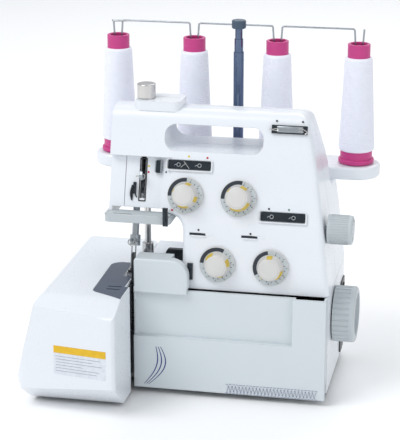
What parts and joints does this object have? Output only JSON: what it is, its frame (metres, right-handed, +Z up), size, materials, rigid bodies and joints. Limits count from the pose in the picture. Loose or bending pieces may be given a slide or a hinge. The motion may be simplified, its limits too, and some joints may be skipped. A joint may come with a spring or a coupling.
{
  "type": "serger overlock machine",
  "caption": "Domestic overlock sewing machine with a carry handle, front tension dials, thread cones on a rear stand, swinging cloth plate and a folding front cover.",
  "frame": {"origin": "bottom centre of the bounding box, on the surface the feet stand on", "axes": "+Z up, +Y to the back of the machine, +X to the handwheel end"},
  "size_m": [0.341, 0.245, 0.366],
  "materials": {
    "white_abs": "gloss",
    "grey_pressed_steel": "satin",
    "black_rubber": "matte",
    "cast_aluminium": "as cast",
    "satin_steel": "satin",
    "charcoal_plastic": "matte",
    "bronze": "sintered",
    "black_enamel": "satin",
    "belt_rubber": "matte",
    "black_plastic": "satin",
    "pole_chrome": "polished",
    "bright_chrome": "polished",
    "light_grey_abs": "satin",
    "slate_enamel": "satin",
    "slate_plastic": "satin",
    "dial_white": "satin",
    "pink_plastic": "gloss",
    "white_thread": "spun thread"
  },
  "bodies": {
    "machine": {"base_plate": "grey_pressed_steel", "rubber_feet": "black_rubber", "frame_casting": "cast_aluminium", "front_shell": "white_abs", "rear_shell": "white_abs", "face_cover": "white_abs", "base_housing": "white_abs", "bed_housing": "white_abs", "needle_plate": "satin_steel", "knife_guard": "charcoal_plastic", "lower_knife": "satin_steel", "shaft_bushes": "bronze", "motor_body": "black_enamel", "drive_belt": "belt_rubber", "housing_screws": "satin_steel", "socket_panel": "black_plastic", "tension_posts": "satin_steel", "thread_guide_plates": "satin_steel", "thread_guides": "satin_steel", "spool_stand": "white_abs", "pole_lower": "pole_chrome", "presser_spring": "satin_steel"},
    "shaft": {"main_shaft": "satin_steel", "handwheel": "light_grey_abs", "driven_pulley": "black_plastic"},
    "motor_rotor": {"motor_pulley": "satin_steel"},
    "needle_carrier": {"needle_bar": "bright_chrome", "needles": "bright_chrome"},
    "take_up": {"take_up_lever": "bright_chrome"},
    "upper_looper_arm": {"upper_looper": "bright_chrome"},
    "lower_looper_arm": {"lower_looper": "bright_chrome"},
    "knife_arm": {"upper_knife": "black_enamel"},
    "main_feed": {"feed_dog_main": "satin_steel"},
    "diff_feed": {"feed_dog_diff": "satin_steel"},
    "presser": {"presser_bar": "bright_chrome", "presser_foot": "bright_chrome"},
    "lifter": {"presser_lifter": "satin_steel"},
    "pressure_knob": {"pressure_dial": "bright_chrome"},
    "length_knob": {"stitch_length_dial": "light_grey_abs"},
    "rocker": {"power_switch": "black_plastic"},
    "cover_slide_bar": {"cover_hinge_bar": "satin_steel"},
    "front_cover": {"looper_cover": "white_abs"},
    "left_cover": {"cloth_plate": "white_abs", "cloth_plate_insert": "slate_enamel"},
    "pole_mid": {"pole_middle": "pole_chrome"},
    "pole_top": {"pole_upper": "pole_chrome", "pole_cap": "slate_plastic", "thread_guide_wire": "satin_steel"},
    "tension_knob_1": {"tension_dial_1": "dial_white"},
    "tension_knob_2": {"tension_dial_2": "dial_white"},
    "tension_knob_3": {"tension_dial_3": "dial_white"},
    "tension_knob_4": {"tension_dial_4": "dial_white"},
    "cone_1": {"cone_core_1": "pink_plastic", "cone_thread_1": "white_thread"},
    "cone_2": {"cone_core_2": "pink_plastic", "cone_thread_2": "white_thread"},
    "cone_3": {"cone_core_3": "pink_plastic", "cone_thread_3": "white_thread"},
    "cone_4": {"cone_core_4": "pink_plastic", "cone_thread_4": "white_thread"}
  },
  "joints": [
    {"name": "main_shaft_turn", "type": "hinge", "parent": "machine", "child": "shaft", "pos_m": [0.1355, 0.0125, 0.08], "axis": [1, 0, 0], "continuous": true},
    {"name": "motor_turn", "type": "hinge", "parent": "machine", "child": "motor_rotor", "pos_m": [0.1135, 0.0645, 0.042], "axis": [1, 0, 0], "continuous": true},
    {"name": "needle_bar_stroke", "type": "slide", "parent": "machine", "child": "needle_carrier", "axis": [0, -0.2588, -0.9659], "range_m": [0, 0.018]},
    {"name": "take_up_swing", "type": "hinge", "parent": "machine", "child": "take_up", "pos_m": [-0.0605, 0.0065, 0.222], "axis": [1, 0, 0], "range_deg": [0, 35]},
    {"name": "upper_looper_swing", "type": "hinge", "parent": "machine", "child": "upper_looper_arm", "pos_m": [-0.0275, -0.0075, 0.084], "axis": [0, 1, 0], "range_deg": [-12, 0]},
    {"name": "lower_looper_swing", "type": "hinge", "parent": "machine", "child": "lower_looper_arm", "pos_m": [-0.0365, -0.0075, 0.052], "axis": [0, 1, 0], "range_deg": [0, 14]},
    {"name": "upper_knife_stroke", "type": "slide", "parent": "machine", "child": "knife_arm", "axis": [0, 0, -1], "range_m": [0, 0.005]},
    {"name": "main_feed_stroke", "type": "slide", "parent": "machine", "child": "main_feed", "axis": [0, 1, 0], "range_m": [0, 0.003]},
    {"name": "diff_feed_stroke", "type": "slide", "parent": "machine", "child": "diff_feed", "axis": [0, 1, 0], "range_m": [0, 0.003]},
    {"name": "presser_lifter_turn", "type": "hinge", "parent": "machine", "child": "lifter", "pos_m": [-0.0485, 0.0365, 0.214], "axis": [1, 0, 0], "range_deg": [0, 35]},
    {"name": "presser_lift", "type": "slide", "parent": "machine", "child": "presser", "axis": [0, 0, 1], "range_m": [0, 0.006], "deforming": ["presser_spring"]},
    {"name": "pressure_dial_turn", "type": "hinge", "parent": "machine", "child": "pressure_knob", "pos_m": [-0.0631, 0.0205, 0.2974], "axis": [0, 0, 1], "range_deg": [-180, 180]},
    {"name": "stitch_length_turn", "type": "hinge", "parent": "machine", "child": "length_knob", "pos_m": [0.1355, -0.0075, 0.177], "axis": [1, 0, 0], "range_deg": [0, 300]},
    {"name": "power_switch_tip", "type": "hinge", "parent": "machine", "child": "rocker", "pos_m": [0.1345, 0.0805, 0.078], "axis": [0, 1, 0], "range_deg": [-6, 6]},
    {"name": "cover_slide", "type": "slide", "parent": "machine", "child": "cover_slide_bar", "axis": [1, 0, 0], "range_m": [0, 0.007]},
    {"name": "cover_tilt", "type": "hinge", "parent": "cover_slide_bar", "child": "front_cover", "pos_m": [0.0315, -0.0385, 0.013], "axis": [1, 0, 0], "range_deg": [0, 75]},
    {"name": "cloth_plate_swing", "type": "hinge", "parent": "machine", "child": "left_cover", "pos_m": [-0.0805, 0.0865, 0.06], "axis": [0, 0, 1], "range_deg": [-60, 0]},
    {"name": "pole_middle_slide", "type": "slide", "parent": "machine", "child": "pole_mid", "axis": [0, 0, 1], "range_m": [0, 0.09]},
    {"name": "pole_upper_slide", "type": "slide", "parent": "pole_mid", "child": "pole_top", "axis": [0, 0, 1], "range_m": [0, 0.09]},
    {"name": "tension_dial_1_turn", "type": "hinge", "parent": "machine", "child": "tension_knob_1", "pos_m": [-0.0138, -0.02081, 0.2075], "axis": [0, -0.9592, 0.2826], "range_deg": [-150, 150]},
    {"name": "tension_dial_2_turn", "type": "hinge", "parent": "machine", "child": "tension_knob_2", "pos_m": [0.0408, -0.02081, 0.2075], "axis": [0, -0.9592, 0.2826], "range_deg": [-150, 150]},
    {"name": "tension_dial_3_turn", "type": "hinge", "parent": "machine", "child": "tension_knob_3", "pos_m": [0.0217, -0.03296, 0.1408], "axis": [0, -0.9957, 0.0926], "range_deg": [-150, 150]},
    {"name": "tension_dial_4_turn", "type": "hinge", "parent": "machine", "child": "tension_knob_4", "pos_m": [0.0761, -0.03296, 0.1408], "axis": [0, -0.9957, 0.0926], "range_deg": [-150, 150]},
    {"name": "cone_1_spin", "type": "hinge", "parent": "machine", "child": "cone_1", "pos_m": [-0.1115, 0.0975, 0.219], "axis": [0, 0, 1], "continuous": true},
    {"name": "cone_2_spin", "type": "hinge", "parent": "machine", "child": "cone_2", "pos_m": [-0.029, 0.0975, 0.219], "axis": [0, 0, 1], "continuous": true},
    {"name": "cone_3_spin", "type": "hinge", "parent": "machine", "child": "cone_3", "pos_m": [0.0595, 0.0975, 0.219], "axis": [0, 0, 1], "continuous": true},
    {"name": "cone_4_spin", "type": "hinge", "parent": "machine", "child": "cone_4", "pos_m": [0.1449, 0.0975, 0.219], "axis": [0, 0, 1], "continuous": true}
  ],
  "couplings": [
    {"joint": "motor_turn", "follows": "main_shaft_turn", "ratio": 3},
    {"joint": "take_up_swing", "follows": "needle_bar_stroke", "rad_per_m": 33.903},
    {"joint": "upper_looper_swing", "follows": "needle_bar_stroke", "rad_per_m": -11.624},
    {"joint": "lower_looper_swing", "follows": "needle_bar_stroke", "rad_per_m": 13.561},
    {"joint": "upper_knife_stroke", "follows": "needle_bar_stroke", "ratio": 0.2778},
    {"joint": "main_feed_stroke", "follows": "needle_bar_stroke", "ratio": 0.1667},
    {"joint": "diff_feed_stroke", "follows": "needle_bar_stroke", "ratio": 0.1333},
    {"joint": "presser_lift", "follows": "presser_lifter_turn", "m_per_rad": 0.009812}
  ]
}
